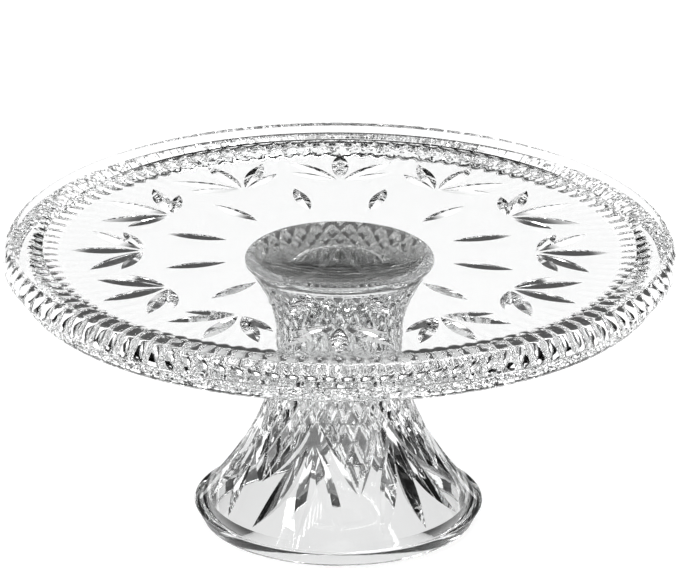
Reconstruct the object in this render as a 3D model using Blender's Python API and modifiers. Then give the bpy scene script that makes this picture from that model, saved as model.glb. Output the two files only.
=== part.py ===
"""Footed cake stand in clear pressed glass: a round plate with a turned-down rim, bonded to a hollow foot.

Metres, +Z up. The origin is at the middle of the foot's base, on the surface that the stand rests on.
"""

import math

import bmesh
import bpy
from mathutils import Matrix, Vector

# Overall sizes
PLATE_DIAMETER = 0.3048
STAND_HEIGHT = 0.134

# Plate: a flat field, a rim that rises to a rounded lip, and a skirt that turns down from the lip
FIELD_THICKNESS = 0.006
RIM_WIDTH = 0.025
RIM_RISE = 0.004
LIP_WIDTH = 0.0055
LIP_HEIGHT = 0.009
LIP_UNDERCUT = 0.0046
LIP_UNDERCUT_HEIGHT = 0.0027
SKIRT_DEPTH = 0.0197
SKIRT_TAPER = 0.0026
SKIRT_WALL = 0.0042
SKIRT_EDGE_ROUND = 0.0008
CHANNEL_FILLET = 0.0045

# Foot: a hollow trumpet, widest at its base edge, narrowest at the waist, flared again under the plate
FOOT_DIAMETER = 0.131
BASE_EDGE_HEIGHT = 0.0078
BASE_EDGE_SLOPE = 0.0036
BASE_RING_WIDTH = 0.0055
BASE_ROUND = 0.0008
BASE_STEP = 0.0022
WAIST_DIAMETER = 0.057
TRUMPET_POWER = 1.93
HEAD_DIAMETER = 0.086
HEAD_LENGTH = 0.0386
HEAD_POWER = 1.9
HEAD_EDGE = 0.0025
FOOT_WALL = 0.006
CROWN_THICKNESS = 0.011
CROWN_FILLET = 0.007

# Bond: a thin clear disc of adhesive between the foot's head and the plate
BOND_THICKNESS = 0.0008
BOND_INSET = 0.002
CLEARANCE = 0.0003

# Leaf cuts under the plate: fans of five, and one long leaf between each two fans. A side leaf is given by its
# angle in degrees, the gap that it leaves to the line halfway to the next fan, and its width.
PLATE_FANS = 12
FAN_APEX_INSET = 0.0644
FAN_LEAF_START = 0.008
MIDDLE_LEAF_LENGTH = 0.031
MIDDLE_LEAF_WIDTH = 0.0052
SIDE_LEAVES = ((44.0, 0.0068, 0.0052), (66.0, 0.0041, 0.0036))
PLATE_LEAF_DEPTH = 0.0014
INNER_LEAF_WIDTH = 0.0056
INNER_LEAF_HEAD_GAP = 0.010
INNER_LEAF_FAN_GAP = 0.007

# Leaf cuts on the foot: fans of three that hang down the cone, and a pair that frames each panel between fans.
# The turn sets the foot's pattern against the plate's, in degrees.
FOOT_FANS = 6
FOOT_TURN = 11.5
FOOT_LEAF_TOP = 0.046
FOOT_LEAF_BOTTOM = 0.0125
FOOT_LEAF_SPREAD = ((3.0, 22.0), (0.0, 0.0), (-3.0, -22.0))
FOOT_LEAF_WIDTH = 0.0085
FRAME_LEAF_TOP = 0.058
FRAME_LEAF_BOTTOM = 0.030
FRAME_LEAF_SPREAD = ((7.0, 27.0), (-7.0, -27.0))
FRAME_LEAF_WIDTH = 0.0065
FOOT_LEAF_DEPTH = 0.0026
FOOT_LEAF_LIFT = 0.0002

TURNED_STEPS = 72
CUTTER_RINGS = 6
TRUMPET_STEPS = 9
HEAD_STEPS = 5
HOLLOW_STEPS = 6
RIM_STEPS = 6
LIP_STEPS = 6
CROWN_STEPS = 5
MERGE_DISTANCE = 0.00001

# Places worked out from the sizes
PLATE_RADIUS = PLATE_DIAMETER / 2
LIP_RADIUS = PLATE_RADIUS - LIP_WIDTH
FIELD_RADIUS = PLATE_RADIUS - RIM_WIDTH
FIELD_TOP = STAND_HEIGHT - RIM_RISE
FIELD_BOTTOM = FIELD_TOP - FIELD_THICKNESS
SKIRT_BOTTOM = STAND_HEIGHT - SKIRT_DEPTH
SKIRT_RADIUS = PLATE_RADIUS - LIP_UNDERCUT
BOND_TOP = FIELD_BOTTOM - CLEARANCE
FOOT_TOP = BOND_TOP - BOND_THICKNESS - CLEARANCE
FOOT_RADIUS = FOOT_DIAMETER / 2
HEAD_RADIUS = HEAD_DIAMETER / 2
WAIST_RADIUS = WAIST_DIAMETER / 2
WAIST_HEIGHT = FOOT_TOP - HEAD_LENGTH
TRUMPET_RADIUS = FOOT_RADIUS - BASE_STEP
FAN_APEX_RADIUS = PLATE_RADIUS - FAN_APEX_INSET


def clear_scene():
    for obj in list(bpy.data.objects):
        bpy.data.objects.remove(obj, do_unlink=True)


def new_collection(name):
    collection = bpy.data.collections.new(name)
    bpy.context.scene.collection.children.link(collection)
    return collection


def glass_material(name, colour, roughness):
    material = bpy.data.materials.new(name)
    material.use_nodes = True
    shader = material.node_tree.nodes["Principled BSDF"]
    shader.inputs["Base Color"].default_value = (*colour, 1.0)
    shader.inputs["Roughness"].default_value = roughness
    shader.inputs["Metallic"].default_value = 0.0
    shader.inputs["Transmission Weight"].default_value = 1.0
    shader.inputs["IOR"].default_value = 1.52
    return material


def elliptic_arc(centre, radii, start, end, steps):
    """Points of an ellipse's arc in the (radius, height) plane, between two angles in degrees."""
    points = []
    for step in range(steps + 1):
        angle = math.radians(start + (end - start) * step / steps)
        points.append((centre[0] + radii[0] * math.cos(angle), centre[1] + radii[1] * math.sin(angle)))
    return points


def turned(name, outline, collection, material):
    """Turns a (radius, height) outline about Z. The outline runs from the axis at the top, down outside."""
    mesh = bpy.data.meshes.new(name)
    points = [(radius, 0.0, height) for radius, height in outline]
    mesh.from_pydata(points, [(i, i + 1) for i in range(len(points) - 1)], [])
    obj = bpy.data.objects.new(name, mesh)
    collection.objects.link(obj)
    screw = obj.modifiers.new("turn", "SCREW")
    screw.axis = "Z"
    screw.steps = TURNED_STEPS
    screw.render_steps = TURNED_STEPS
    screw.use_merge_vertices = True
    screw.merge_threshold = MERGE_DISTANCE
    screw.use_smooth_shade = True
    obj.data.materials.append(material)
    return obj


def rim_height(radius):
    """Height of the plate's top: level over the field, then an eased rise to the crest of the lip."""
    share = max(0.0, (radius - FIELD_RADIUS) / (LIP_RADIUS - FIELD_RADIUS))
    return FIELD_TOP + RIM_RISE * share * share * (3 - 2 * share)


def plate_outline():
    outline = [(0.0, FIELD_TOP)]
    for step in range(RIM_STEPS + 1):
        radius = FIELD_RADIUS + (LIP_RADIUS - FIELD_RADIUS) * step / RIM_STEPS
        outline.append((radius, rim_height(radius)))
    lip_middle = (LIP_RADIUS, STAND_HEIGHT - LIP_HEIGHT)
    outline += elliptic_arc(lip_middle, (LIP_WIDTH, LIP_HEIGHT), 90, 0, LIP_STEPS)[1:]
    undercut_middle = (SKIRT_RADIUS, STAND_HEIGHT - LIP_HEIGHT)
    outline += elliptic_arc(undercut_middle, (LIP_UNDERCUT, LIP_UNDERCUT_HEIGHT), 0, -90, 3)[1:]
    edge = SKIRT_EDGE_ROUND
    skirt_foot = SKIRT_RADIUS - SKIRT_TAPER
    outer_edge = (skirt_foot - edge, SKIRT_BOTTOM + edge)
    outline += elliptic_arc(outer_edge, (edge, edge), 0, -90, 2)
    inner_edge = (skirt_foot - SKIRT_WALL + edge, SKIRT_BOTTOM + edge)
    outline += elliptic_arc(inner_edge, (edge, edge), 270, 180, 2)
    channel_wall = skirt_foot - SKIRT_WALL
    fillet_middle = (channel_wall - CHANNEL_FILLET, FIELD_BOTTOM - CHANNEL_FILLET)
    outline += elliptic_arc(fillet_middle, (CHANNEL_FILLET, CHANNEL_FILLET), 0, 90, 4)
    outline.append((0.0, FIELD_BOTTOM))
    return outline


def foot_radius(height):
    """Outer radius of the foot: the waist's, plus a power of the distance from it, to the base or to the head."""
    if height <= WAIST_HEIGHT:
        share = (WAIST_HEIGHT - height) / (WAIST_HEIGHT - BASE_EDGE_HEIGHT)
        return WAIST_RADIUS + (TRUMPET_RADIUS - WAIST_RADIUS) * share**TRUMPET_POWER
    share = (height - WAIST_HEIGHT) / (FOOT_TOP - HEAD_EDGE - WAIST_HEIGHT)
    return WAIST_RADIUS + (HEAD_RADIUS - WAIST_RADIUS) * share**HEAD_POWER


def heights(top, bottom, steps):
    return [top + (bottom - top) * step / steps for step in range(steps + 1)]


def foot_outline():
    head_side = FOOT_TOP - HEAD_EDGE
    outline = [(0.0, FOOT_TOP), (HEAD_RADIUS - HEAD_EDGE, FOOT_TOP)]
    outline += elliptic_arc((HEAD_RADIUS - HEAD_EDGE, head_side), (HEAD_EDGE, HEAD_EDGE), 60, 30, 1)
    outline += [(foot_radius(z), z) for z in heights(head_side, WAIST_HEIGHT, HEAD_STEPS)]
    outline += [(foot_radius(z), z) for z in heights(WAIST_HEIGHT, BASE_EDGE_HEIGHT, TRUMPET_STEPS)[1:]]
    edge_round = BASE_STEP * 0.5
    outline += elliptic_arc(
        (FOOT_RADIUS - edge_round, BASE_EDGE_HEIGHT - edge_round), (edge_round, edge_round), 90, 0, 3
    )
    base_outer = FOOT_RADIUS - BASE_EDGE_SLOPE
    outline += elliptic_arc((base_outer - BASE_ROUND, BASE_ROUND), (BASE_ROUND, BASE_ROUND), 0, -90, 2)
    base_inner = base_outer - BASE_RING_WIDTH
    outline += elliptic_arc((base_inner + BASE_ROUND, BASE_ROUND), (BASE_ROUND, BASE_ROUND), 270, 180, 2)
    crown_edge = FOOT_TOP - CROWN_THICKNESS - CROWN_FILLET
    for height in heights(BASE_EDGE_HEIGHT, WAIST_HEIGHT, HOLLOW_STEPS):
        outline.append((min(foot_radius(height) - FOOT_WALL, base_inner), height))
    crown_radius = WAIST_RADIUS - FOOT_WALL
    fillet_middle = (crown_radius - CROWN_FILLET, crown_edge)
    outline += elliptic_arc(fillet_middle, (CROWN_FILLET, CROWN_FILLET), 0, 90, CROWN_STEPS)
    outline.append((0.0, crown_edge + CROWN_FILLET))
    return outline


def leaf_shape(length, width, depth):
    """A leaf with a V keel: a sphere of four sides, long along X, drawn to a point at both ends."""
    shape = bmesh.new()
    bmesh.ops.create_uvsphere(shape, u_segments=4, v_segments=CUTTER_RINGS, radius=1.0)
    for vertex in shape.verts:
        along = vertex.co.z
        reach = math.sqrt(max(0.0, 1.0 - along * along))
        across = vertex.co.x * reach * width / 2
        down = vertex.co.y * reach * depth
        vertex.co = Vector((along * length / 2, across, down))
    return shape


def leaf_place(start, end, outward):
    """The matrix that lays a leaf from start to end, with its keel away from the outward direction."""
    along = (end - start).normalized()
    side = outward.cross(along).normalized()
    up = along.cross(side)
    turn = Matrix((along, side, up)).transposed().to_4x4()
    return Matrix.Translation((start + end) / 2) @ turn


def leaf_cutter(name, leaves, collection):
    """One cutter of many separate leaves, each given as start, end, outward direction, width and depth."""
    whole = bmesh.new()
    for start, end, outward, width, depth in leaves:
        leaf = leaf_shape((end - start).length, width, depth)
        leaf.transform(leaf_place(start, end, outward))
        part = bpy.data.meshes.new("leaf")
        leaf.to_mesh(part)
        leaf.free()
        whole.from_mesh(part)
        bpy.data.meshes.remove(part)
    bmesh.ops.recalc_face_normals(whole, faces=whole.faces)
    mesh = bpy.data.meshes.new(name)
    whole.to_mesh(mesh)
    whole.free()
    obj = bpy.data.objects.new(name, mesh)
    obj.display_type = "WIRE"
    obj.hide_render = True
    collection.objects.link(obj)
    return obj


def cut(obj, cutter):
    boolean = obj.modifiers.new(cutter.name, "BOOLEAN")
    boolean.operation = "DIFFERENCE"
    boolean.solver = "EXACT"
    boolean.use_self = True
    boolean.object = cutter


def polar(radius, degrees, height):
    angle = math.radians(degrees)
    return Vector((radius * math.cos(angle), radius * math.sin(angle), height))


def plate_leaves():
    """Leaves under the plate, as fans about points on a circle, with a long leaf between each two fans."""
    down = Vector((0.0, 0.0, -1.0))
    half_pitch = 180.0 / PLATE_FANS
    fan_space = FAN_APEX_RADIUS * math.sin(math.radians(half_pitch))
    fan_leaves = [(0.0, MIDDLE_LEAF_LENGTH, MIDDLE_LEAF_WIDTH)]
    for spread, gap, width in SIDE_LEAVES:
        length = (fan_space - gap) / math.sin(math.radians(spread - half_pitch))
        fan_leaves += [(spread, length, width), (-spread, length, width)]
    leaves = []
    for fan in range(PLATE_FANS):
        axis = 360.0 * fan / PLATE_FANS
        apex = polar(FAN_APEX_RADIUS, axis, FIELD_BOTTOM)
        for spread, length, width in fan_leaves:
            heading = polar(1.0, axis + spread, 0.0)
            start = apex + heading * FAN_LEAF_START
            leaves.append((start, apex + heading * length, down, width, PLATE_LEAF_DEPTH))
        between = axis + half_pitch
        start = polar(HEAD_RADIUS + INNER_LEAF_HEAD_GAP, between, FIELD_BOTTOM)
        end = polar(FAN_APEX_RADIUS - INNER_LEAF_FAN_GAP, between, FIELD_BOTTOM)
        leaves.append((start, end, down, INNER_LEAF_WIDTH, PLATE_LEAF_DEPTH))
    return leaves


def foot_leaf(top, bottom, top_angle, bottom_angle, width):
    """A leaf down the foot, from one height and angle to another, laid on the chord of the cone."""
    start = polar(foot_radius(top), top_angle, top)
    end = polar(foot_radius(bottom), bottom_angle, bottom)
    middle = (top + bottom) / 2
    slope = (foot_radius(middle - 0.001) - foot_radius(middle + 0.001)) / 0.002
    around = polar(1.0, (top_angle + bottom_angle) / 2, 0.0)
    outward = (around + Vector((0.0, 0.0, slope))).normalized()
    sag = (start + end) / 2 - polar(foot_radius(middle), (top_angle + bottom_angle) / 2, middle)
    lift = outward * (FOOT_LEAF_LIFT - sag.dot(outward))
    return (start + lift, end + lift, outward, width, FOOT_LEAF_DEPTH)


def foot_leaves():
    leaves = []
    for fan in range(FOOT_FANS):
        axis = -90.0 + FOOT_TURN + 360.0 * (fan + 0.5) / FOOT_FANS
        for top_angle, bottom_angle in FOOT_LEAF_SPREAD:
            leaves.append(
                foot_leaf(
                    FOOT_LEAF_TOP, FOOT_LEAF_BOTTOM, axis + top_angle, axis + bottom_angle, FOOT_LEAF_WIDTH
                )
            )
        for top_angle, bottom_angle in FRAME_LEAF_SPREAD:
            leaves.append(
                foot_leaf(
                    FRAME_LEAF_TOP, FRAME_LEAF_BOTTOM, axis + top_angle, axis + bottom_angle, FRAME_LEAF_WIDTH
                )
            )
    return leaves


def make_plate(parts, cutters):
    material = glass_material("plate glass", (0.94, 0.95, 0.96), 0.02)
    plate = turned("plate", plate_outline(), parts, material)
    cut(plate, leaf_cutter("plate_leaf_cutter", plate_leaves(), cutters))
    return plate


def make_foot(parts, cutters):
    material = glass_material("foot glass", (0.92, 0.93, 0.94), 0.03)
    foot = turned("foot", foot_outline(), parts, material)
    cut(foot, leaf_cutter("foot_leaf_cutter", foot_leaves(), cutters))
    return foot


def make_bond(parts):
    bpy.ops.mesh.primitive_cylinder_add(
        vertices=TURNED_STEPS,
        radius=HEAD_RADIUS - HEAD_EDGE - BOND_INSET,
        depth=BOND_THICKNESS,
        location=(0.0, 0.0, BOND_TOP - BOND_THICKNESS / 2),
    )
    bond = bpy.context.object
    bond.name = "bond_disc"
    for collection in list(bond.users_collection):
        collection.objects.unlink(bond)
    parts.objects.link(bond)
    bond.data.materials.append(glass_material("bond adhesive", (0.97, 0.97, 0.95), 0.08))
    return bond


def main():
    clear_scene()
    parts = new_collection("cake_stand")
    cutters = new_collection("cutters")
    cutters.hide_render = True
    make_plate(parts, cutters)
    make_foot(parts, cutters)
    make_bond(parts)


main()
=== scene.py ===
# %% [markdown]
# # A footed cake stand in clear pressed glass
#
# The stand is two pieces of pressed glass and a thin disc of clear adhesive between them. The packed
# model gives their true sizes and places. This script makes the glass that the eye sees: the ribs under
# the rim, the leaf cuts, the diamond-cut panels, and the light that makes clear glass show. It starts
# by loading the fixed frame.

# %% Load the frame
import math

import bmesh
import bpy
import numpy as np
from mathutils import Matrix, Vector


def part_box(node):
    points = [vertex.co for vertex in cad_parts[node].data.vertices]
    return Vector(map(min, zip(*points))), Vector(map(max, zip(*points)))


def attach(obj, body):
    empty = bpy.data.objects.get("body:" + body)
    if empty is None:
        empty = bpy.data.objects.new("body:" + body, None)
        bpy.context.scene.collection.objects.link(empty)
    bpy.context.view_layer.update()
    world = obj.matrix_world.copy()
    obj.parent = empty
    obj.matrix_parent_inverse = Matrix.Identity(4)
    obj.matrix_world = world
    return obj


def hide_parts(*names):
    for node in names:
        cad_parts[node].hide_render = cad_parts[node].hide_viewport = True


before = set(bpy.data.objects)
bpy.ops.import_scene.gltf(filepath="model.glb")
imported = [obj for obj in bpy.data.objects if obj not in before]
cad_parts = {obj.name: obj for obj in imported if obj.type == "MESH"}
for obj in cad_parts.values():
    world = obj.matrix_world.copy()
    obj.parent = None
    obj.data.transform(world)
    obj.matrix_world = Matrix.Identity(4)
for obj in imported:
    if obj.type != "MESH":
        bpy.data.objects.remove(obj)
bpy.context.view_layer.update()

MM = 0.001
ML_PER_CUBIC_METRE = 1e6
plate_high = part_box("plate")[1]
foot_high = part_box("foot")[1]
bond_low, bond_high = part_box("bond_disc")
PLATE_RADIUS = plate_high[0]
STAND_TOP = plate_high[2]
FOOT_RADIUS = foot_high[0]
FOOT_TOP = foot_high[2]
print(f"plate radius {PLATE_RADIUS:.4f}, top {STAND_TOP:.4f}, foot radius {FOOT_RADIUS:.4f} m")

# %% [markdown]
# ## How a turned piece is made from numbers
#
# Glass is pressed in a turned mould, so every piece starts as an outline that goes once round an axis.
# Blender's Screw modifier could turn it, but a pattern of ribs needs each point moved by its own
# amount. So the surface is a grid worked out with numpy: one row for each point of the outline, one
# column for each step round the axis, and a height above the plain surface for each point of the grid.

# %% Helpers for turned surfaces
def arc(centre, radii, start, end, steps):
    """Points of an ellipse's arc.

    Each point is the centre plus each radius times the cosine or sine of an angle in degrees.
    """
    angle = np.radians(np.linspace(start, end, steps + 1))
    return np.stack([centre[0] + radii[0] * np.cos(angle), centre[1] + radii[1] * np.sin(angle)], axis=1)


def outline_normals(outline):
    """Unit normals of an outline that runs out and down: its direction, turned a quarter left."""
    direction = np.gradient(outline, axis=0)
    normal = np.stack([-direction[:, 1], direction[:, 0]], axis=1)
    return normal / np.linalg.norm(normal, axis=1, keepdims=True)


def ring_angles(columns):
    """Angles of the columns, evenly spaced once round."""
    return np.linspace(0.0, 2.0 * np.pi, columns, endpoint=False)


def turned_mesh(name, outline, columns, relief=None):
    """A closed turned surface.

    Row i and column j give the point at radius r_i + n_i * h_ij and height z_i + m_i * h_ij, turned to
    angle j, where (n_i, m_i) is the outline's normal and h_ij the relief. The first and last rows are
    single poles.
    """
    rows = len(outline)
    normal = outline_normals(outline)
    if relief is None:
        relief = np.zeros((rows, columns))
    radius = outline[:, :1] + normal[:, :1] * relief
    height = outline[:, 1:] + normal[:, 1:] * relief
    angle = ring_angles(columns)[None, :]
    rings = np.stack([radius * np.cos(angle), radius * np.sin(angle), height], axis=2)[1:-1]
    top_pole = [[0.0, 0.0, outline[0, 1]]]
    low_pole = [[0.0, 0.0, outline[-1, 1]]]
    points = np.concatenate([rings.reshape(-1, 3), top_pole, low_pole])
    index = np.arange((rows - 2) * columns).reshape(rows - 2, columns)
    beside = np.roll(index, -1, axis=1)
    quads = np.stack([index[:-1], index[1:], beside[1:], beside[:-1]], axis=2).reshape(-1, 4)
    last = (rows - 2) * columns
    top_fan = np.stack([np.full(columns, last), index[0], beside[0]], axis=1)
    low_fan = np.stack([np.full(columns, last + 1), beside[-1], index[-1]], axis=1)
    return mesh_from_arrays(name, points, quads, np.concatenate([top_fan, low_fan]))


def mesh_from_arrays(name, points, quads, triangles):
    """Puts whole arrays of points, four-sided and three-sided faces into a mesh with foreach_set."""
    mesh = bpy.data.meshes.new(name)
    mesh.vertices.add(len(points))
    mesh.vertices.foreach_set("co", np.asarray(points, dtype=np.float32).ravel())
    corners = np.concatenate([quads.ravel(), triangles.ravel()]).astype(np.int32)
    sizes = np.concatenate([np.full(len(quads), 4), np.full(len(triangles), 3)])
    starts = np.concatenate([[0], np.cumsum(sizes)[:-1]]).astype(np.int32)
    mesh.loops.add(len(corners))
    mesh.loops.foreach_set("vertex_index", corners)
    mesh.polygons.add(len(sizes))
    mesh.polygons.foreach_set("loop_start", starts)
    mesh.update(calc_edges=True)
    mesh.validate()
    return mesh


def new_piece(name, mesh):
    """An object that holds the mesh, at the origin."""
    piece = bpy.data.objects.new(name, mesh)
    bpy.context.scene.collection.objects.link(piece)
    return piece


def smooth_step(low, high, value):
    """0 below low, 1 above high, and the smooth curve 3t^2 - 2t^3 between them."""
    share = np.clip((value - low) / (high - low), 0.0, 1.0)
    return share * share * (3.0 - 2.0 * share)


def report_mesh(piece):
    """Prints a piece's triangles, open edges and volume, so that a hole or a flipped face shows up."""
    shape = bmesh.new()
    shape.from_mesh(piece.data)
    triangles = sum(len(face.verts) - 2 for face in shape.faces)
    open_edges = sum(1 for edge in shape.edges if not edge.is_manifold)
    volume = f"{shape.calc_volume() * ML_PER_CUBIC_METRE:.1f} ml"
    print(piece.name, triangles, "triangles,", open_edges, "open edges,", volume)
    shape.free()


# %% [markdown]
# ## How a leaf cut is made
#
# A leaf is a V-shaped cut, widest in the middle and pointed at both ends, as a mitre wheel leaves it. A
# relief on the grid would blur its sharp edges, so each leaf is a slim closed solid that a Boolean
# takes out of the glass. The solid is carried along a path on the surface: its keel goes into the
# glass, its sides come out of it.

# %% Leaf solids
LEAF_STATIONS = 13
LEAF_OVERSHOOT = 1.35
SHARP_ANGLE = 24.0


def leaf_solid(path, outward, width, depth):
    """Points and faces of one leaf.

    At share u of the path the half width is W/2 * (1 - |2u - 1|^2) and the keel's depth follows it, so
    the V keeps its angle. Both sides of the V run on past the surface by the overshoot, and a ridge
    closes them.
    """
    share = np.linspace(0.0, 1.0, len(path))[:, None]
    swell = 1.0 - np.abs(2.0 * share - 1.0) ** 2.0
    along = np.gradient(path, axis=0)
    along /= np.linalg.norm(along, axis=1, keepdims=True)
    side = np.cross(outward, along)
    side /= np.linalg.norm(side, axis=1, keepdims=True)
    reach = side * (width / 2.0 * LEAF_OVERSHOOT) * swell
    rise = outward * (depth * (LEAF_OVERSHOOT - 1.0)) * swell
    keel = path - outward * depth * swell
    ring = np.stack([keel, path + reach + rise, path + rise * 2.0, path - reach + rise], axis=1)[1:-1]
    points = np.concatenate([ring.reshape(-1, 3), path[:1], path[-1:]])
    index = np.arange(len(ring) * 4).reshape(-1, 4)
    beside = np.roll(index, -1, axis=1)
    quads = np.stack([index[:-1], beside[:-1], beside[1:], index[1:]], axis=2).reshape(-1, 4)
    start, end = len(ring) * 4, len(ring) * 4 + 1
    start_fan = np.stack([np.full(4, start), beside[0], index[0]], axis=1)
    end_fan = np.stack([np.full(4, end), index[-1], beside[-1]], axis=1)
    return points, quads, np.concatenate([start_fan, end_fan])


def cut_leaves(piece, leaves):
    """Takes all the leaves out of a piece with one exact Boolean, and keeps the result as its mesh."""
    points, quads, triangles, count = [], [], [], 0
    for leaf_points, leaf_quads, leaf_triangles in leaves:
        points.append(leaf_points)
        quads.append(leaf_quads + count)
        triangles.append(leaf_triangles + count)
        count += len(leaf_points)
    joined = [np.concatenate(part) for part in (points, quads, triangles)]
    cutter = new_piece(piece.name + "_leaves", mesh_from_arrays(piece.name + " leaves", *joined))
    boolean = piece.modifiers.new("leaves", "BOOLEAN")
    boolean.operation = "DIFFERENCE"
    boolean.solver = "EXACT"
    boolean.use_self = True
    boolean.object = cutter
    evaluated = piece.evaluated_get(bpy.context.evaluated_depsgraph_get())
    cut_mesh = bpy.data.meshes.new_from_object(evaluated)
    piece.modifiers.clear()
    piece.data = cut_mesh
    bpy.data.objects.remove(cutter, do_unlink=True)
    print(piece.name, len(leaves), "leaves cut")


def finish_shading(piece, sharp_degrees):
    """Smooth shading, with edges sharper than the given angle kept crisp."""
    piece.data.shade_smooth()
    piece.data.set_sharp_from_angle(angle=math.radians(sharp_degrees))


# %% [markdown]
# ## The plate
#
# The plate's top is level and smooth, then rises at a crease to a thick rounded lip, and a skirt turns
# down under the lip. Most of the pattern is underneath, so it shows through the glass: ribs that start
# just inside the rim and end a little way down the inside of the skirt, and twelve fans of leaves. The
# lip has shallow lobes in step with the ribs, and the skirt is stippled on both sides. One outline
# carries all but the leaves, with close rows where the relief is fine and few rows where the glass is
# level.

# %% Plate sizes
FIELD_TOP = STAND_TOP - 4.0 * MM
FIELD_BOTTOM = FIELD_TOP - 6.0 * MM
LEVEL_RADIUS = PLATE_RADIUS - 25.0 * MM
LEVEL_EDGE = 3.0 * MM
CREASE_RADIUS = PLATE_RADIUS - 18.4 * MM
CREASE_RISE = 0.5 * MM
LIP_WIDTH, LIP_HEIGHT = 5.5 * MM, 9.0 * MM
UNDERCUT, UNDERCUT_HEIGHT = 4.6 * MM, 2.7 * MM
SKIRT_DEPTH, SKIRT_TAPER, SKIRT_WALL = 19.7 * MM, 2.6 * MM, 4.2 * MM
EDGE_ROUND = 0.8 * MM
CHANNEL_FILLET = 4.5 * MM
RIBS = 112
STEPS_PER_RIB = 8
RIB_DEPTH = 1.5 * MM
RIB_START = PLATE_RADIUS - 26.0 * MM
RIB_TAIL = 1.5 * MM
LOBE_DEPTH = 0.4 * MM
LOBE_REACH = 3.0 * MM
LOBE_END, LOBE_FADE_LOW, LOBE_FADE_HIGH = 1.0 * MM, 2.0 * MM, 1.2 * MM
STIPPLE_DEPTH = 0.6 * MM
STIPPLE_START, STIPPLE_FULL, STIPPLE_FADE = 1.2 * MM, 2.2 * MM, 1.0 * MM
STIPPLE_SEED = 7
PLATE_COLUMNS = RIBS * STEPS_PER_RIB
print("plate columns", PLATE_COLUMNS)

# %% Plate outline
def run(start, end, steps):
    """Evenly spaced points of a straight stretch, the first left out."""
    share = np.linspace(0.0, 1.0, steps + 1)[1:, None]
    return np.asarray(start) + (np.asarray(end) - np.asarray(start)) * share


def plate_outline():
    """The plate's outline, from the axis at the top, out over the lip, down the skirt and back in below."""
    crest_radius = PLATE_RADIUS - LIP_WIDTH
    crease = (CREASE_RADIUS, FIELD_TOP + CREASE_RISE)
    lip_middle = (crest_radius, STAND_TOP - LIP_HEIGHT)
    neck = PLATE_RADIUS - UNDERCUT
    skirt_foot = neck - SKIRT_TAPER
    low = STAND_TOP - SKIRT_DEPTH
    wall = skirt_foot - SKIRT_WALL
    rise_size = (crest_radius - CREASE_RADIUS, STAND_TOP - crease[1])
    rise = arc((crest_radius, crease[1]), rise_size, 180, 90, 8)
    fillet_middle = (wall - CHANNEL_FILLET, FIELD_BOTTOM - CHANNEL_FILLET)
    fillet = arc(fillet_middle, (CHANNEL_FILLET, CHANNEL_FILLET), 0, 90, 8)
    edge_size = (EDGE_ROUND, EDGE_ROUND)
    stretches = [
        [(0.0, FIELD_TOP)],
        run((0.0, FIELD_TOP), (LEVEL_RADIUS - LEVEL_EDGE, FIELD_TOP), 3),
        run((LEVEL_RADIUS - LEVEL_EDGE, FIELD_TOP), (LEVEL_RADIUS, FIELD_TOP), 1),
        run((LEVEL_RADIUS, FIELD_TOP), crease, 3),
        rise[1:],
        arc(lip_middle, (LIP_WIDTH, LIP_HEIGHT), 90, 0, 12)[1:],
        arc((neck, lip_middle[1]), (UNDERCUT, UNDERCUT_HEIGHT), 0, -90, 5)[1:],
        run((neck, lip_middle[1] - UNDERCUT_HEIGHT), (skirt_foot, low + EDGE_ROUND), 9),
        arc((skirt_foot - EDGE_ROUND, low + EDGE_ROUND), edge_size, 0, -90, 3)[1:],
        arc((wall + EDGE_ROUND, low + EDGE_ROUND), edge_size, 270, 180, 3),
        run((wall, low + EDGE_ROUND), (wall, FIELD_BOTTOM - CHANNEL_FILLET), 6),
        fillet[1:],
        run(fillet[-1], (RIB_START, FIELD_BOTTOM), 9),
        run((RIB_START, FIELD_BOTTOM), (0.0, FIELD_BOTTOM), 4),
    ]
    return np.concatenate([np.asarray(stretch) for stretch in stretches])


print("plate outline", len(plate_outline()), "points")

# %% Plate relief
def scallops():
    """One round back for each rib with sharp valleys between: |sin| of half its turn, less one."""
    return (np.abs(np.sin(ring_angles(PLATE_COLUMNS) * RIBS / 2.0)) - 1.0)[None, :]


def rib_relief(outline):
    """Height of the ribs: the scallops times a depth that grows out to the crease and ends on the skirt."""
    radius, height = outline[:, 0], outline[:, 1]
    under = np.arange(len(outline)) > int(np.argmin(height))
    fillet_low = FIELD_BOTTOM - CHANNEL_FILLET - RIB_TAIL
    outward = smooth_step(RIB_START, CREASE_RADIUS, radius)
    along = outward * smooth_step(fillet_low - RIB_TAIL, fillet_low, height)
    return RIB_DEPTH * np.where(under, along, 0.0)[:, None] * scallops()


def lobe_relief(outline):
    """Height of the lobes on the lip: the scallops from the crest to the undercut, faded at both ends."""
    radius, height = outline[:, 0], outline[:, 1]
    above = np.arange(len(outline)) < int(np.argmin(height))
    over = above & (radius > PLATE_RADIUS - LIP_WIDTH - LOBE_REACH)
    low = STAND_TOP - LIP_HEIGHT - LOBE_END
    upper_end = 1.0 - smooth_step(STAND_TOP - LOBE_FADE_HIGH, STAND_TOP, height)
    along = smooth_step(low, low + LOBE_FADE_LOW, height) * upper_end
    return LOBE_DEPTH * np.where(over, along, 0.0)[:, None] * scallops()


def stipple_relief(outline):
    """Height of the stipple on both sides of the skirt: a seeded random height for each point there."""
    radius, height = outline[:, 0], outline[:, 1]
    low = STAND_TOP - SKIRT_DEPTH
    high = STAND_TOP - LIP_HEIGHT - UNDERCUT_HEIGHT
    upper_end = 1.0 - smooth_step(high - STIPPLE_FADE, high, height)
    band = smooth_step(low + STIPPLE_START, low + STIPPLE_FULL, height) * upper_end
    band = np.where(radius > CREASE_RADIUS, band, 0.0)
    bumps = np.random.default_rng(STIPPLE_SEED).random((len(outline), PLATE_COLUMNS)) - 0.5
    return STIPPLE_DEPTH * 2.0 * band[:, None] * bumps


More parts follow.
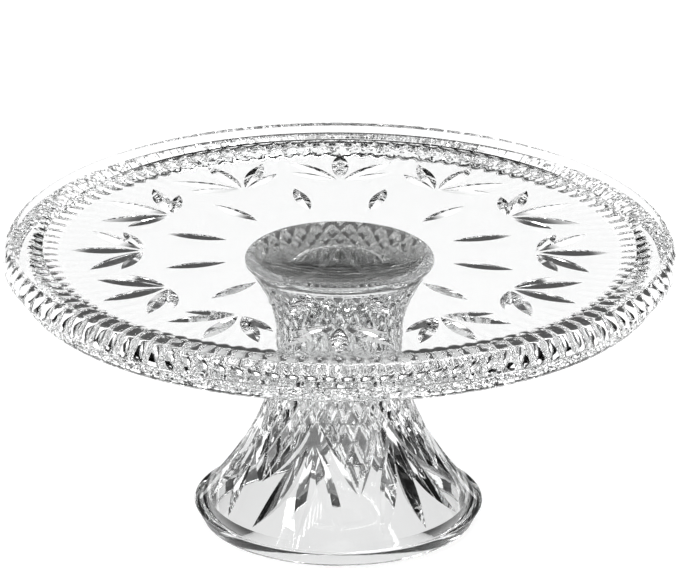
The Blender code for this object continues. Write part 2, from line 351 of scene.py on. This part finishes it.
# %% [markdown]
# ### The plate's leaves
#
# Twelve fans stand on a circle, each of five leaves that spread from one point: a straight one, a pair
# at 44 degrees and a short pair at 66. Between each two fans one long leaf points at the middle of the
# plate.

# %% Plate leaves
PLATE_FANS = 12
FAN_RADIUS = PLATE_RADIUS - 64.4 * MM
FAN_GAP = 2.5 * MM
PLATE_LEAF_STEEPNESS = 0.36
LEAF_SPREADS = (0.0, 44.0, 66.0)
LEAF_LENGTHS = (34.0 * MM, 34.0 * MM, 25.0 * MM)
LEAF_WIDTHS = (7.8 * MM, 7.4 * MM, 5.8 * MM)
INNER_LEAF_WIDTH = 6.6 * MM
HEAD_GAP, INNER_GAP = 10.0 * MM, 7.0 * MM
BOND_INSET = 4.5 * MM
HEAD_RADIUS = bond_high[0] + BOND_INSET


def polar(radius, degrees, height):
    """The point at a radius and an angle in degrees, at a height."""
    angle = math.radians(degrees)
    return np.array([radius * math.cos(angle), radius * math.sin(angle), height])


def flat_leaf(start, end, width):
    """A leaf under the level field: a straight path with its outward side down."""
    share = np.linspace(0.0, 1.0, LEAF_STATIONS)[:, None]
    path = start + (end - start) * share
    down = np.tile([0.0, 0.0, -1.0], (LEAF_STATIONS, 1))
    return leaf_solid(path, down, width, PLATE_LEAF_STEEPNESS * width)


def plate_leaves():
    """Twelve fans of five leaves, and the long leaf between each two."""
    leaves = []
    for fan in range(PLATE_FANS):
        axis = 360.0 * fan / PLATE_FANS
        apex = polar(FAN_RADIUS, axis, FIELD_BOTTOM)
        for spread, length, width in zip(LEAF_SPREADS, LEAF_LENGTHS, LEAF_WIDTHS):
            for side in (1, -1) if spread else (1,):
                heading = polar(1.0, axis + side * spread, 0.0)
                leaves.append(flat_leaf(apex + heading * FAN_GAP, apex + heading * length, width))
        between = axis + 180.0 / PLATE_FANS
        start = polar(HEAD_RADIUS + HEAD_GAP, between, FIELD_BOTTOM)
        end = polar(FAN_RADIUS - INNER_GAP, between, FIELD_BOTTOM)
        leaves.append(flat_leaf(start, end, INNER_LEAF_WIDTH))
    return leaves


# %% Make the plate
outline = plate_outline()
relief = rib_relief(outline) + lobe_relief(outline) + stipple_relief(outline)
plate_mesh = turned_mesh("plate_glass", outline, PLATE_COLUMNS, relief)
plate = new_piece("plate_pressed", plate_mesh)
cut_leaves(plate, plate_leaves())
finish_shading(plate, SHARP_ANGLE)
report_mesh(plate)

# %% [markdown]
# ## The foot
#
# The foot is a hollow trumpet. Its side follows a power curve from the waist down to the base. Its
# pattern is cut in the outside: straight mitre cuts in two directions leave tall diamonds, and fans of
# leaves hang below them. A straight cut on a cone keeps radius times the sine of its lean the same,
# which is how the lines of the diamonds are found here.

# %% Foot sizes
BASE_EDGE_HEIGHT, BASE_EDGE_SLOPE = 7.8 * MM, 3.6 * MM
BASE_RING, BASE_ROUND, BASE_STEP = 5.5 * MM, 0.8 * MM, 2.2 * MM
WAIST_RADIUS = 28.5 * MM
WAIST_HEIGHT = FOOT_TOP - 38.6 * MM
TRUMPET_POWER, HEAD_POWER = 1.93, 1.9
HEAD_EDGE = 2.5 * MM
FOOT_WALL = 6.0 * MM
CROWN_THICKNESS, CROWN_FILLET = 11.0 * MM, 7.0 * MM
EDGE_BEVEL = 0.5 * MM
FOOT_COLUMNS = 480
HATCH_LINES = 30
HATCH_LEAN = 14.3 * MM
HATCH_HALF_WIDTH = 1.55 * MM
HATCH_DEPTH = 1.3 * MM
HATCH_FADE = 1.5 * MM
HATCH_HEAD_END, HATCH_HEAD_START = 5.0 * MM, 8.0 * MM
LEAN_LIMIT = 0.9
TURN_TABLE_SIZE = 600
FINE_ROWS_ABOVE = 26.0 * MM
FOOT_FANS = 6
FOOT_TURN = 11.5
FAN_TOP, FAN_TIP = 57.0 * MM, 28.0 * MM


def foot_side(height):
    """Outer radius: the waist's plus a power of the share of the way to the base, or to the head."""
    down = np.clip((WAIST_HEIGHT - height) / (WAIST_HEIGHT - BASE_EDGE_HEIGHT), 0.0, 1.0)
    up = np.clip((height - WAIST_HEIGHT) / (FOOT_TOP - HEAD_EDGE - WAIST_HEIGHT), 0.0, 1.0)
    trumpet = (FOOT_RADIUS - BASE_STEP - WAIST_RADIUS) * down**TRUMPET_POWER
    return WAIST_RADIUS + trumpet + (HEAD_RADIUS - WAIST_RADIUS) * up**HEAD_POWER


def side_run(top, bottom, steps, inset=0.0, limit=math.inf):
    """Points down the foot's side between two heights, moved in by an inset and held under a limit."""
    height = np.linspace(top, bottom, steps + 1)
    return np.stack([np.minimum(foot_side(height) - inset, limit), height], axis=1)


def foot_outline():
    """The foot's outline, from the axis at the top, down outside, under the base ring and up the hollow."""
    head_side = FOOT_TOP - HEAD_EDGE
    head = arc((HEAD_RADIUS - HEAD_EDGE, head_side), (HEAD_EDGE, HEAD_EDGE), 90, 0, 4)
    base_outer = FOOT_RADIUS - BASE_EDGE_SLOPE
    base_inner = base_outer - BASE_RING
    crown_edge = FOOT_TOP - CROWN_THICKNESS - CROWN_FILLET
    crown_radius = WAIST_RADIUS - FOOT_WALL
    crown_middle = (crown_radius - CROWN_FILLET, crown_edge)
    crown_height = crown_edge + CROWN_FILLET
    bevel_middle = (FOOT_RADIUS - EDGE_BEVEL, BASE_EDGE_HEIGHT - EDGE_BEVEL)
    round_size = (BASE_ROUND, BASE_ROUND)
    stretches = [
        [(0.0, FOOT_TOP), (HEAD_RADIUS * 0.5, FOOT_TOP)],
        head,
        side_run(head_side, WAIST_HEIGHT, 40)[1:],
        side_run(WAIST_HEIGHT, FINE_ROWS_ABOVE, 84)[1:],
        side_run(FINE_ROWS_ABOVE, BASE_EDGE_HEIGHT, 12)[1:],
        arc(bevel_middle, (EDGE_BEVEL, EDGE_BEVEL), 90, 0, 4),
        arc((base_outer - BASE_ROUND, BASE_ROUND), round_size, 0, -90, 3),
        arc((base_inner + BASE_ROUND, BASE_ROUND), round_size, 270, 180, 3),
        side_run(BASE_EDGE_HEIGHT, WAIST_HEIGHT, 16, FOOT_WALL, base_inner),
        arc(crown_middle, (CROWN_FILLET, CROWN_FILLET), 0, 90, 8),
        [(0.5 * crown_middle[0], crown_height), (0.0, crown_height)],
    ]
    return np.concatenate([np.asarray(stretch) for stretch in stretches])


print("foot outline", len(foot_outline()), "points")

# %% Diamond cuts
def line_turn(height):
    """Angle that a straight mitre cut has turned by at each height, from zero at the fans' top.

    The cut leans by the angle whose sine is the constant over the radius, and each step down the side
    turns it by the tangent of that lean times the step, over the radius. The steps are summed from a fine
    table.
    """
    table = np.linspace(BASE_EDGE_HEIGHT, FOOT_TOP, TURN_TABLE_SIZE)
    radius = foot_side(table)
    slope = np.gradient(radius, table)
    sine = np.minimum(HATCH_LEAN / radius, LEAN_LIMIT)
    tangent = sine / np.sqrt(1.0 - sine**2)
    turn = np.cumsum(tangent * np.sqrt(1.0 + slope**2) / radius) * (table[1] - table[0])
    return np.interp(height, table, turn) - np.interp(FAN_TOP, table, turn)


def fan_angle(angle):
    """Angle from the nearest fan's axis, between 0 and half of the space between fans, in degrees."""
    pitch = 360.0 / FOOT_FANS
    share = (np.degrees(angle) + 90.0 - FOOT_TURN) / pitch % 1.0
    return np.abs(share - 0.5) * pitch


def hatch_relief(outline):
    """Depth of the diamond cuts, as rows by columns.

    Each family of lines is the set of angles at which angle plus or minus the turn is a whole number of
    line pitches. The depth is that of a V: full on a line and nothing at the half width beside it. The
    cuts fade out at the fans' edge and under the head.
    """
    radius, height = outline[:, :1], outline[:, 1:]
    lowest = int(np.argmin(outline[:, 1]))
    outside = (np.arange(len(outline)) < lowest)[:, None]
    angle = ring_angles(FOOT_COLUMNS)[None, :]
    pitch = 2.0 * np.pi / HATCH_LINES
    start = math.radians(-90.0 + FOOT_TURN + 180.0 / FOOT_FANS)
    turn = line_turn(height)
    lean = np.arcsin(np.minimum(HATCH_LEAN / np.maximum(radius, HATCH_LEAN), LEAN_LIMIT))
    depth = np.zeros((len(outline), FOOT_COLUMNS))
    for side in (1.0, -1.0):
        phase = (angle - start + side * turn) / pitch
        beside = np.abs(phase - np.round(phase)) * pitch * radius * np.cos(lean)
        depth = np.maximum(depth, np.clip(1.0 - beside / HATCH_HALF_WIDTH, 0.0, 1.0))
    edge = FAN_TOP + (FAN_TIP - FAN_TOP) * fan_angle(angle) / (180.0 / FOOT_FANS)
    head_end = 1.0 - smooth_step(FOOT_TOP - HATCH_HEAD_START, FOOT_TOP - HATCH_HEAD_END, height)
    mask = smooth_step(edge, edge + HATCH_FADE, height) * head_end
    return -HATCH_DEPTH * depth * np.where(outside, mask, 0.0)


# %% [markdown]
# ### The foot's leaves
#
# Under each fan's top three leaves hang down the cone, and two more run from the top to the tips of the
# panels on each side, so that they frame the diamonds.

# %% Foot leaves
HANGING_TOP, HANGING_BOTTOM = 47.0 * MM, 11.8 * MM
HANGING_LEAVES = ((3.0, 22.0), (0.0, 0.0), (-3.0, -22.0))
HANGING_WIDTH = 8.6 * MM
FRAME_LEAVES = ((1.5, 29.0), (-1.5, -29.0))
FRAME_TOP, FRAME_BOTTOM = 58.0 * MM, 28.5 * MM
FRAME_WIDTH = 6.8 * MM
FOOT_LEAF_DEPTH = 4.0 * MM


def cone_leaf(top, bottom, top_angle, bottom_angle, width):
    """A leaf on the foot: straight in height and angle, with the surface's normal as its outward side."""
    share = np.linspace(0.0, 1.0, LEAF_STATIONS)
    height = top + (bottom - top) * share
    angle = np.radians(top_angle + (bottom_angle - top_angle) * share)
    radius = foot_side(height)
    slope = (foot_side(height + 0.5 * MM) - foot_side(height - 0.5 * MM)) / MM
    path = np.stack([radius * np.cos(angle), radius * np.sin(angle), height], axis=1)
    outward = np.stack([np.cos(angle), np.sin(angle), -slope], axis=1)
    outward /= np.linalg.norm(outward, axis=1, keepdims=True)
    return leaf_solid(path, outward, width, FOOT_LEAF_DEPTH * width / HANGING_WIDTH)


def foot_leaves():
    """Six fans of three hanging leaves, each with the two that frame the diamonds."""
    sets = (
        (HANGING_LEAVES, HANGING_TOP, HANGING_BOTTOM, HANGING_WIDTH),
        (FRAME_LEAVES, FRAME_TOP, FRAME_BOTTOM, FRAME_WIDTH),
    )
    leaves = []
    for fan in range(FOOT_FANS):
        axis = -90.0 + FOOT_TURN + 360.0 * (fan + 0.5) / FOOT_FANS
        for turns, top, bottom, width in sets:
            for top_turn, bottom_turn in turns:
                leaves.append(cone_leaf(top, bottom, axis + top_turn, axis + bottom_turn, width))
    return leaves


# %% Make the foot
outline = foot_outline()
foot_mesh = turned_mesh("foot_glass", outline, FOOT_COLUMNS, hatch_relief(outline))
foot = new_piece("foot_pressed", foot_mesh)
cut_leaves(foot, foot_leaves())
finish_shading(foot, SHARP_ANGLE)
report_mesh(foot)

# %% [markdown]
# ## The bond
#
# A thin film of clear adhesive holds the foot to the plate. It has squeezed out to a round edge, so its
# outline is two flat faces joined by a half circle.

# %% Make the bond
def bond_outline():
    """The film's outline, from the axis at the top, round its edge and back to the axis below."""
    half = (bond_high[2] - bond_low[2]) / 2.0
    middle = bond_low[2] + half
    edge = arc((bond_high[0] - half, middle), (half, half), 90, -90, 8)
    return np.concatenate([[(0.0, bond_high[2])], edge, [(0.0, bond_low[2])]])


BOND_COLUMNS = 96
BOND_SHARP_ANGLE = 40.0
bond = new_piece("bond_film", turned_mesh("bond_film", bond_outline(), BOND_COLUMNS))
finish_shading(bond, BOND_SHARP_ANGLE)
report_mesh(bond)

# %% [markdown]
# ## Glass
#
# Clear glass is a shader that lets light through and bends it. Its colour comes from what is around it,
# so the material only says how clear it is. Pressed glass isn't perfect: the fire polish leaves slow
# waves in the surface, and the mould leaves a faint haze here and there. Both come from noise on Object
# coordinates.

# %% A small class for shader maths
class Wire:
    """An output socket of a node. The operators add Math nodes, so that a formula reads as a formula."""

    def __init__(self, graph, socket):
        self.graph = graph
        self.socket = socket

    def math(self, operation, first, second):
        return self.graph.node("ShaderNodeMath", {"operation": operation}, {0: first, 1: second})

    def __add__(self, other):
        return self.math("ADD", self, other)

    def __sub__(self, other):
        return self.math("SUBTRACT", self, other)

    def __rsub__(self, other):
        return self.math("SUBTRACT", other, self)

    def __mul__(self, other):
        return self.math("MULTIPLY", self, other)

    __radd__ = __add__
    __rmul__ = __mul__


class Graph:
    """A material's nodes. One method adds any node: its settings, then values or links for its inputs."""

    def __init__(self, name):
        self.material = bpy.data.materials.new(name)
        self.material.use_nodes = True
        self.tree = self.material.node_tree
        self.shader = self.tree.nodes["Principled BSDF"]

    def node(self, kind, settings=None, inputs=None, output=0):
        node = self.tree.nodes.new(kind)
        for key, value in (settings or {}).items():
            setattr(node, key, value)
        for key, value in (inputs or {}).items():
            self.feed(node.inputs[key], value)
        return Wire(self, node.outputs[output])

    def feed(self, socket, value):
        if isinstance(value, Wire):
            self.tree.links.new(value.socket, socket)
        else:
            socket.default_value = value


# %% The glass materials
GLASS_IOR = 1.52
WAVE_SCALE, GRAIN_SCALE = 45.0, 220.0
WAVE_SHARE, GRAIN_SHARE = 0.8, 0.2


def pressed_glass(name, tint, haze, wave_height):
    """Clear glass with slow waves from the fire polish, and a low roughness that wanders up to the haze."""
    graph = Graph(name)
    place = graph.node("ShaderNodeTexCoord", output="Object")
    wave_inputs = {"Vector": place, "Scale": WAVE_SCALE, "Detail": 1.0}
    grain_inputs = {"Vector": place, "Scale": GRAIN_SCALE, "Detail": 2.0}
    waves = graph.node("ShaderNodeTexNoise", inputs=wave_inputs)
    grain = graph.node("ShaderNodeTexNoise", inputs=grain_inputs)
    height = waves * WAVE_SHARE + grain * GRAIN_SHARE
    bump_inputs = {"Strength": 1.0, "Distance": wave_height, "Height": height}
    bump = graph.node("ShaderNodeBump", inputs=bump_inputs)
    shader = graph.shader
    graph.feed(shader.inputs["Normal"], bump)
    graph.feed(shader.inputs["Roughness"], grain * haze)
    shader.inputs["Base Color"].default_value = (*tint, 1.0)
    shader.inputs["Transmission Weight"].default_value = 1.0
    shader.inputs["IOR"].default_value = GLASS_IOR
    return graph.material


GLASS_LOOKS = (
    (plate, "plate glass", (0.985, 0.99, 0.99), 0.012, 0.06 * MM),
    (foot, "foot glass", (0.98, 0.985, 0.985), 0.014, 0.06 * MM),
    (bond, "bond adhesive", (0.99, 0.99, 0.98), 0.06, 0.02 * MM),
)
for piece, *look in GLASS_LOOKS:
    piece.data.materials.clear()
    piece.data.materials.append(pressed_glass(*look))
    print(piece.name, "has", look[0])

# %% Say what each piece stands for
for piece, node, slot in (
    (plate, "plate", "plate_glass"),
    (foot, "foot", "foot_glass"),
    (bond, "bond_disc", "bond_adhesive"),
):
    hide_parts(node)
    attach(piece, "root")
    print(piece.name, "stands for", node)

# %% [markdown]
# ## Floor and light
#
# Glass shows by what it bends into view. On a white floor under a white sky it would vanish, so
# photographers stand dark boards around it, out of the picture: the cut faces pick them up as dark
# lines. The boards here are spaced evenly round the stand, so it sparkles from every side, and the
# camera itself doesn't see them.
#
# The floor is two sheets. The camera sees a plain white one. The glass sees one with glowing rings of
# painted light and shade: a painted bright glow where a line of sight through the level plate meets the
# floor, painted grey shade inside the foot, a painted dark shadow under the plate, and painted dark far
# away, where mostly cut faces look.

# %% Floor
MATT_ROUGHNESS = 0.8


def plain_material(name, grey, glow):
    """A matt grey that also glows white."""
    graph = Graph(name)
    graph.shader.inputs["Base Color"].default_value = (grey, grey, grey, 1.0)
    graph.shader.inputs["Roughness"].default_value = MATT_ROUGHNESS
    graph.shader.inputs["Specular IOR Level"].default_value = 0.0
    graph.shader.inputs["Emission Color"].default_value = (1.0, 1.0, 1.0, 1.0)
    graph.shader.inputs["Emission Strength"].default_value = glow
    return graph.material


def set_stops(ramp, stops):
    """Gives a colour ramp grey stops, each a position and a level."""
    ramp.elements.remove(ramp.elements[1])
    for number, (position, level) in enumerate(stops):
        stop = ramp.elements.new(position) if number else ramp.elements[0]
        stop.position = position
        stop.color = (level, level, level, 1.0)


FLOOR_HALF = 12.0
FLOOR_DROP = 0.2 * MM
FLOOR_GREY, FLOOR_GLOW = 0.3, 0.9
# Painted light and shade seen only through the glass: shade inside the foot, a shadow under the plate, a
# glow, dark far out.
PAINTED_RING_GLOW = 1.33
FOOT_SHADE_GREY, SHADE_GREY = 0.64, 0.08
FOOT_SHADE_DISC = ((0.0, FOOT_SHADE_GREY), (0.058, FOOT_SHADE_GREY))
SHADE_RING = ((0.066, SHADE_GREY), (0.163, SHADE_GREY))
PAINTED_GLOW_RING = ((0.185, 1.0), (0.63, 1.0))
PAINTED_LIGHT_AND_SHADE_RINGS = FOOT_SHADE_DISC + SHADE_RING + PAINTED_GLOW_RING + ((0.68, 0.0),)


def painted_light_and_shade_floor():
    """Rings of painted light and shade that glow, by the distance from the stand's axis."""
    graph = Graph("floor painted light and shade rings")
    place = graph.node("ShaderNodeTexCoord", output="Object")
    distance = graph.node("ShaderNodeVectorMath", {"operation": "LENGTH"}, {0: place}, output="Value")
    level = graph.node("ShaderNodeValToRGB", inputs={"Fac": distance})
    set_stops(level.socket.node.color_ramp, PAINTED_LIGHT_AND_SHADE_RINGS)
    graph.feed(graph.shader.inputs["Emission Color"], level)
    graph.shader.inputs["Emission Strength"].default_value = PAINTED_RING_GLOW
    graph.shader.inputs["Base Color"].default_value = (0.0, 0.0, 0.0, 1.0)
    graph.shader.inputs["Specular IOR Level"].default_value = 0.0
    return graph.material


def flat_board(name, corners, material, seen):
    """A flat board with four corners and a material, seen by the camera or hidden from it."""
    mesh = mesh_from_arrays(name, np.array(corners), np.array([[0, 1, 2, 3]]), np.zeros((0, 3), dtype=int))
    board = new_piece(name, mesh)
    board.data.materials.append(material)
    board.visible_camera = seen
    return board


def floor_corners(drop):
    """Corners of the square floor, a little under the stand."""
    return [(x * FLOOR_HALF, y * FLOOR_HALF, -drop) for x, y in ((-1, -1), (1, -1), (1, 1), (-1, 1))]


floor_white = plain_material("floor white", FLOOR_GREY, FLOOR_GLOW)
floor = flat_board("floor", floor_corners(FLOOR_DROP), floor_white, True)
floor.visible_transmission = False
floor.visible_glossy = False
# A glowing sheet of painted light and shade, seen only through the glass.
flat_board("painted_floor_in_glass", floor_corners(FLOOR_DROP * 2.0), painted_light_and_shade_floor(), False)
print("floor", 2.0 * FLOOR_HALF, "m wide, rings", PAINTED_LIGHT_AND_SHADE_RINGS)

# %% Dark boards
BOARDS = 8
BOARD_DISTANCE = 1.4
BOARD_SHARE = 0.8
BOARD_HEIGHT = 1.1
BOARD_GREY = 0.01
BOARD_CORNERS = ((-1.0, 0.0), (1.0, 0.0), (1.0, BOARD_HEIGHT), (-1.0, BOARD_HEIGHT))
board_black = plain_material("board black", BOARD_GREY, 0.0)
spread = math.pi * BOARD_SHARE / BOARDS
for number in range(BOARDS):
    middle = 2.0 * math.pi * number / BOARDS
    corners = []
    for side, height in BOARD_CORNERS:
        turn = middle + side * spread
        corners.append((BOARD_DISTANCE * math.cos(turn), BOARD_DISTANCE * math.sin(turn), height))
    flat_board(f"board_{number + 1}", corners, board_black, False)
print(BOARDS, "boards at", BOARD_DISTANCE, "m")

# %% Sky and lamps
SKY = ((0.0, 1.0), (0.10, 1.0), (0.18, 0.15), (0.72, 0.15), (0.85, 0.9))
LIGHT_BOUNCES = 32


def studio_sky():
    """A sky by height: a white wall at the horizon, a dim band above it, and a bright ceiling."""
    world = bpy.data.worlds.new("studio")
    world.use_nodes = True
    tree = world.node_tree
    place = tree.nodes.new("ShaderNodeTexCoord")
    split = tree.nodes.new("ShaderNodeSeparateXYZ")
    level = tree.nodes.new("ShaderNodeValToRGB")
    tree.links.new(place.outputs["Generated"], split.inputs[0])
    tree.links.new(split.outputs["Z"], level.inputs["Fac"])
    tree.links.new(level.outputs["Color"], tree.nodes["Background"].inputs["Color"])
    set_stops(level.color_ramp, SKY)
    return world


bpy.context.scene.world = studio_sky()
bpy.context.scene.view_settings.view_transform = "Standard"
bpy.context.scene.cycles.max_bounces = LIGHT_BOUNCES
bpy.context.scene.cycles.transmission_bounces = LIGHT_BOUNCES
bpy.context.scene.cycles.glossy_bounces = LIGHT_BOUNCES


def soft_lamp(name, place, size, power):
    """A square lamp that points at the stand, hidden from the camera."""
    light = bpy.data.lights.new(name, "AREA")
    light.size = size
    light.energy = power
    lamp = bpy.data.objects.new(name, light)
    bpy.context.scene.collection.objects.link(lamp)
    lamp.location = place
    to_stand = Vector((0.0, 0.0, STAND_TOP / 2.0)) - Vector(place)
    lamp.rotation_euler = to_stand.to_track_quat("-Z", "Y").to_euler()
    lamp.visible_camera = False
    print(name, "at", place)


soft_lamp("top_lamp", (0.3, 0.2, 1.5), size=0.7, power=12.0)
soft_lamp("side_lamp", (-1.1, -0.9, 1.3), size=0.5, power=10.0)

# %% [markdown]
# ## Camera
#
# A long lens gives the flat look of a catalogue. The camera is five metres from the middle of the stand
# and a little over 22 degrees above it.

# %% Camera
CAMERA_PLACE = (0.0, -4.626, 1.967)
CAMERA_AIM = (0.0, 0.0, 0.1124)
CAMERA_LENS = 584.0
CAMERA_ROLL = math.radians(0.3)
CAMERA_REACH = 60.0
camera_data = bpy.data.cameras.new("camera")
camera_data.lens = CAMERA_LENS
camera_data.clip_end = CAMERA_REACH
camera = bpy.data.objects.new("camera", camera_data)
bpy.context.scene.collection.objects.link(camera)
camera.location = CAMERA_PLACE
aim = (Vector(CAMERA_AIM) - Vector(CAMERA_PLACE)).to_track_quat("-Z", "Y").to_matrix()
camera.rotation_euler = (aim @ Matrix.Rotation(CAMERA_ROLL, 3, "Z")).to_euler()
bpy.context.scene.camera = camera
print("camera at", CAMERA_PLACE, "lens", CAMERA_LENS)
